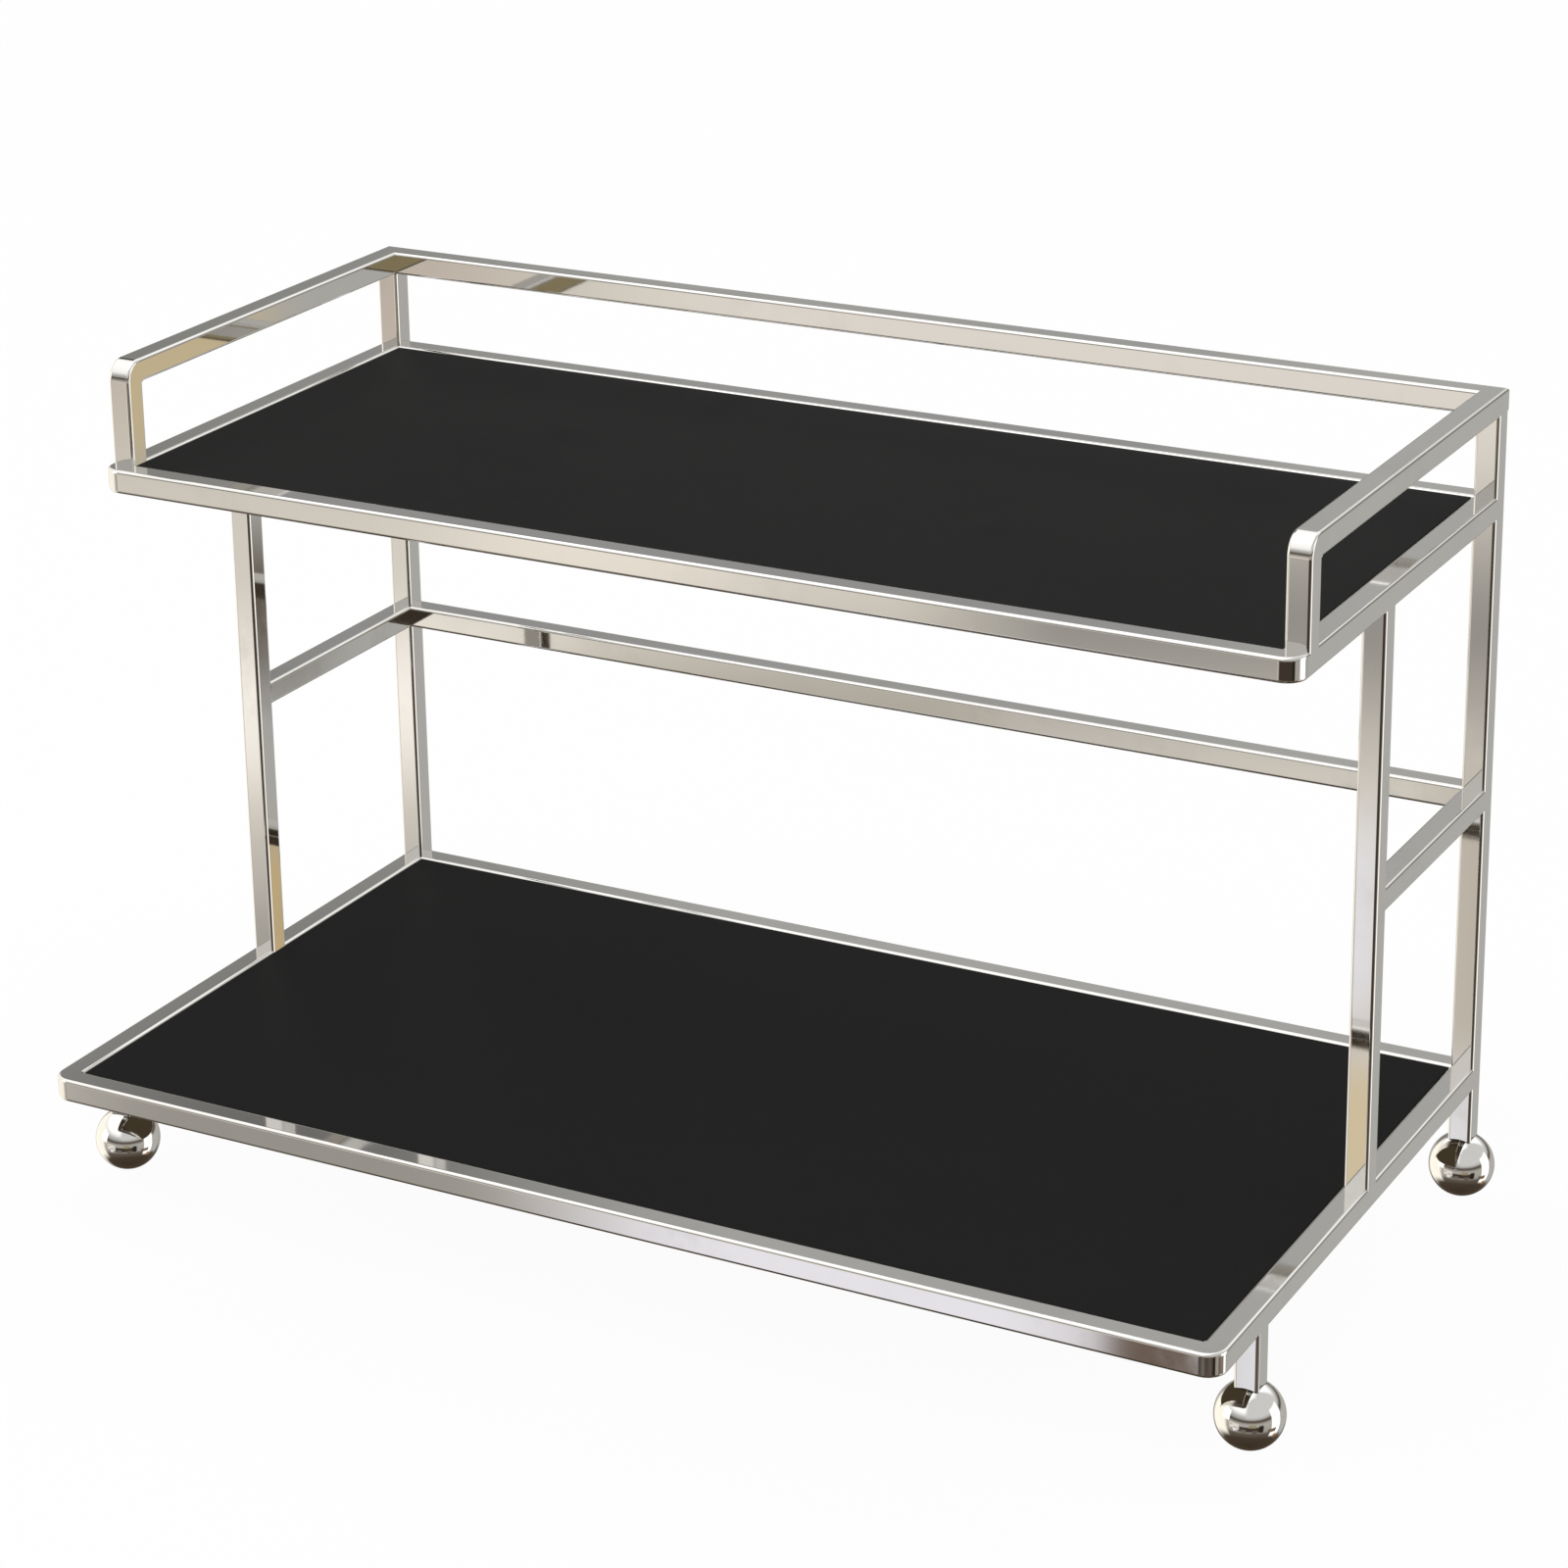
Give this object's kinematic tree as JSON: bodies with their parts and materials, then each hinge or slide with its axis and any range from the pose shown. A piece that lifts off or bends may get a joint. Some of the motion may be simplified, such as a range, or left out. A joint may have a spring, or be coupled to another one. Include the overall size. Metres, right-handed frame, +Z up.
{
  "type": "rolling cart",
  "caption": "Two-tier rolling cart with a stepped square-tube frame, inset panels, a guard rail round the top tier and swivelling ball casters.",
  "frame": {"origin": "on the floor, under the middle of the cart's overall box", "axes": "+X to the cart's right, +Y to its guarded back, +Z up"},
  "size_m": [1.033, 0.5485, 0.667],
  "materials": {
    "polished_steel": "mirror-polished chrome plate on steel tube",
    "ball_chrome": "mirror-polished chrome plate",
    "black_panel": "satin black laminate",
    "zinc_steel": "bright zinc plate",
    "nylon": "natural moulded nylon",
    "pad_rubber": "soft black rubber",
    "tyre_rubber": "moulded black rubber"
  },
  "bodies": {
    "frame": {"rear_post_left": "polished_steel", "rear_post_right": "polished_steel", "front_post_left": "polished_steel", "front_post_right": "polished_steel", "front_leg_left": "polished_steel", "front_leg_right": "polished_steel", "lower_front_rail": "polished_steel", "lower_side_rail_left": "polished_steel", "lower_side_rail_right": "polished_steel", "lower_rear_rail": "polished_steel", "upper_front_rail": "polished_steel", "upper_side_rail_left": "polished_steel", "upper_side_rail_right": "polished_steel", "upper_rear_rail": "polished_steel", "guard_post_left": "polished_steel", "guard_post_right": "polished_steel", "guard_rail_left": "polished_steel", "guard_rail_right": "polished_steel", "guard_rear_rail": "polished_steel", "side_brace_left": "polished_steel", "side_brace_right": "polished_steel", "rear_brace": "polished_steel", "lower_panel": "black_panel", "upper_panel": "black_panel", "lower_ledge_front": "polished_steel", "lower_ledge_rear": "polished_steel", "upper_ledge_front": "polished_steel", "upper_ledge_rear": "polished_steel", "panel_pads": "pad_rubber", "thrust_washers": "nylon", "stem_clips": "zinc_steel", "leg_plug_rear_right": "nylon", "leg_plug_rear_left": "nylon", "leg_plug_front_right": "nylon", "leg_plug_front_left": "nylon"},
    "caster_rear_right": {"stem_rear_right": "zinc_steel", "hood_rear_right": "ball_chrome", "fork_rear_right": "zinc_steel", "axle_rear_right": "zinc_steel"},
    "wheel_rear_right": {"wheel_hub_rear_right": "nylon", "tyre_rear_right": "tyre_rubber"},
    "caster_rear_left": {"stem_rear_left": "zinc_steel", "hood_rear_left": "ball_chrome", "fork_rear_left": "zinc_steel", "axle_rear_left": "zinc_steel"},
    "wheel_rear_left": {"wheel_hub_rear_left": "nylon", "tyre_rear_left": "tyre_rubber"},
    "caster_front_right": {"stem_front_right": "zinc_steel", "hood_front_right": "ball_chrome", "fork_front_right": "zinc_steel", "axle_front_right": "zinc_steel"},
    "wheel_front_right": {"wheel_hub_front_right": "nylon", "tyre_front_right": "tyre_rubber"},
    "caster_front_left": {"stem_front_left": "zinc_steel", "hood_front_left": "ball_chrome", "fork_front_left": "zinc_steel", "axle_front_left": "zinc_steel"},
    "wheel_front_left": {"wheel_hub_front_left": "nylon", "tyre_front_left": "tyre_rubber"}
  },
  "joints": [
    {"name": "swivel_rear_right", "type": "hinge", "parent": "frame", "child": "caster_rear_right", "pos_m": [0.4905, 0.24825, 0.026], "axis": [0, 0, 1], "continuous": true},
    {"name": "roll_rear_right", "type": "hinge", "parent": "caster_rear_right", "child": "wheel_rear_right", "pos_m": [0.4905, 0.25325, 0.012], "axis": [1, 0, 0], "continuous": true},
    {"name": "swivel_rear_left", "type": "hinge", "parent": "frame", "child": "caster_rear_left", "pos_m": [-0.4905, 0.24825, 0.026], "axis": [0, 0, 1], "continuous": true},
    {"name": "roll_rear_left", "type": "hinge", "parent": "caster_rear_left", "child": "wheel_rear_left", "pos_m": [-0.4905, 0.25325, 0.012], "axis": [1, 0, 0], "continuous": true},
    {"name": "swivel_front_right", "type": "hinge", "parent": "frame", "child": "caster_front_right", "pos_m": [0.4905, -0.19225, 0.026], "axis": [0, 0, 1], "continuous": true},
    {"name": "roll_front_right", "type": "hinge", "parent": "caster_front_right", "child": "wheel_front_right", "pos_m": [0.4905, -0.18725, 0.012], "axis": [1, 0, 0], "continuous": true},
    {"name": "swivel_front_left", "type": "hinge", "parent": "frame", "child": "caster_front_left", "pos_m": [-0.4905, -0.19225, 0.026], "axis": [0, 0, 1], "continuous": true},
    {"name": "roll_front_left", "type": "hinge", "parent": "caster_front_left", "child": "wheel_front_left", "pos_m": [-0.4905, -0.18725, 0.012], "axis": [1, 0, 0], "continuous": true}
  ]
}
